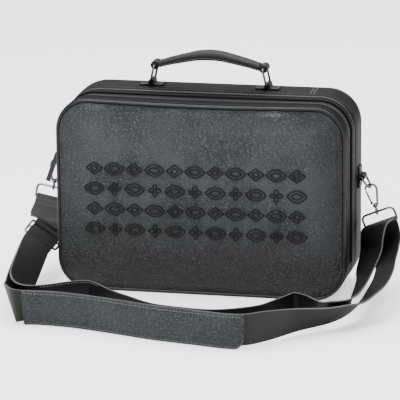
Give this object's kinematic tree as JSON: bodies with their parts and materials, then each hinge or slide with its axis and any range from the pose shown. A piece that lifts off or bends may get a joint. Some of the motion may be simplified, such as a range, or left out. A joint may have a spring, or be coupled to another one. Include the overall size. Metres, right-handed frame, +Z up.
{
  "type": "tefillin bag",
  "caption": "Rectangular zipped leather bag with a padded top handle and a hooked, padded shoulder strap laid round its front.",
  "frame": {"origin": "middle of the bag body's flat base, halfway between its sides and between its front and back", "axes": "+X to the right as seen from the zipped front, +Y to the back, +Z up"},
  "size_m": [0.4865, 0.343, 0.2963],
  "materials": {
    "shell_leather": "grained",
    "edging_leather": "smooth",
    "strap_leather": "smooth",
    "zip_textile": "woven",
    "gunmetal": "dark, polished"
  },
  "bodies": {
    "bag": {"front_panel": "shell_leather", "front_zip_strip": "shell_leather", "zip_hinge": "shell_leather", "rear_zip_strip": "shell_leather", "rear_gusset": "shell_leather", "back_panel": "shell_leather", "handle_grip": "shell_leather", "handle_tab_left": "shell_leather", "handle_tab_right": "shell_leather", "side_tab_left": "shell_leather", "side_tab_right": "shell_leather", "shoulder_pad": "shell_leather", "front_piping": "edging_leather", "ridge_piping": "edging_leather", "back_piping": "edging_leather", "zip_tape_front": "zip_textile", "zip_coil": "zip_textile", "zip_tape_rear": "zip_textile", "strap_short_end": "strap_leather", "strap_front_run": "strap_leather", "strap_back_run": "strap_leather", "handle_ring_left": "gunmetal", "handle_ring_right": "gunmetal", "d_ring_left": "gunmetal", "d_ring_right": "gunmetal", "hook_body_left": "gunmetal", "hook_body_right": "gunmetal", "hook_swivel_left": "gunmetal", "hook_swivel_right": "gunmetal", "strap_ring_left": "gunmetal", "strap_ring_right": "gunmetal", "strap_glide": "gunmetal", "zip_slider": "gunmetal"},
    "lever_left": {"hook_lever_left": "gunmetal"},
    "lever_right": {"hook_lever_right": "gunmetal"},
    "zip_pull": {"zip_pull_loop": "gunmetal", "zip_pull_tab": "gunmetal"}
  },
  "joints": [
    {"name": "lever_left_hinge", "type": "hinge", "parent": "bag", "child": "lever_left", "pos_m": [-0.20792, 0.031, 0.12], "axis": [0, -1, 0], "range_deg": [0, 22], "stiffness_Nm_per_rad": 0.01},
    {"name": "lever_right_hinge", "type": "hinge", "parent": "bag", "child": "lever_right", "pos_m": [0.20299, 0.031, 0.10598], "axis": [0, 1, 0], "range_deg": [0, 22], "stiffness_Nm_per_rad": 0.01},
    {"name": "zip_pull_hinge", "type": "hinge", "parent": "bag", "child": "zip_pull", "pos_m": [-0.18885, -0.0249, 0.177], "axis": [0, 1, 0], "range_deg": [-12, 120]}
  ]
}
